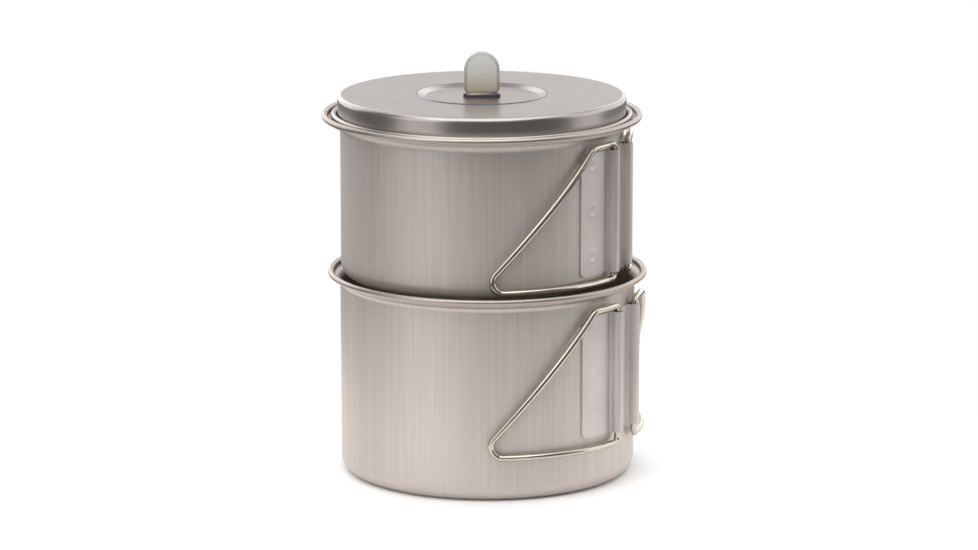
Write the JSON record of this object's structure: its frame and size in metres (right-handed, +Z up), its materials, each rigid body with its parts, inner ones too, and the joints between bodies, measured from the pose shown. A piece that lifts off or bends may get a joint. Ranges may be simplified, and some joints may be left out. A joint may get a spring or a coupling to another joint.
{
  "type": "camping cooking pot set",
  "caption": "Stacked pair of round camping pots with folding wire handles in pressed hinge plates, and a shallow lid with a soft tab knob.",
  "frame": {"origin": "centre of the lower pot's base, on the face that rests on the ground", "axes": "+Z up along the lower pot's axis; +X out through the middle of the lower pot's hinge plate"},
  "size_m": [0.1143, 0.1134, 0.1494],
  "materials": {
    "pot_titanium": "satin bare titanium, fine vertical grain",
    "lid_titanium": "satin bare titanium",
    "plate_titanium": "satin pressed titanium sheet",
    "weld_spots": "slightly dimpled weld spots",
    "handle_wire": "polished titanium wire",
    "knob_silicone": "frosted translucent silicone"
  },
  "bodies": {
    "lower_pot": {"lower_pot": "pot_titanium", "lower_hinge_plate": "plate_titanium", "lower_spot_welds": "weld_spots"},
    "lower_handle_front": {"lower_handle_front": "handle_wire"},
    "lower_handle_rear": {"lower_handle_rear": "handle_wire"},
    "upper_pot": {"upper_pot": "pot_titanium", "upper_hinge_plate": "plate_titanium", "upper_spot_welds": "weld_spots"},
    "upper_handle_front": {"upper_handle_front": "handle_wire"},
    "upper_handle_rear": {"upper_handle_rear": "handle_wire"},
    "lid": {"lid": "lid_titanium", "lid_knob": "knob_silicone"}
  },
  "joints": [
    {"name": "lower_handle_front_hinge", "type": "hinge", "parent": "lower_pot", "child": "lower_handle_front", "pos_m": [0.05397, -0.00685, 0], "axis": [0, 0, 1], "range_deg": [0, 123]},
    {"name": "lower_handle_rear_hinge", "type": "hinge", "parent": "lower_pot", "child": "lower_handle_rear", "pos_m": [0.05397, 0.00685, 0], "axis": [0, 0, -1], "range_deg": [-2, 121]},
    {"name": "upper_handle_front_hinge", "type": "hinge", "parent": "upper_pot", "child": "upper_handle_front", "pos_m": [0.05043, -0.00298, 0], "axis": [0, 0, 1], "range_deg": [0, 123]},
    {"name": "upper_handle_rear_hinge", "type": "hinge", "parent": "upper_pot", "child": "upper_handle_rear", "pos_m": [0.04918, 0.01066, 0], "axis": [0, 0, -1], "range_deg": [0, 123]},
    {"name": "upper_pot_lift", "type": "slide", "parent": "lower_pot", "child": "upper_pot", "axis": [0, 0, 1], "range_m": [0, 0.09]},
    {"name": "lid_lift", "type": "slide", "parent": "upper_pot", "child": "lid", "axis": [0, 0, 1], "range_m": [0, 0.06]}
  ]
}
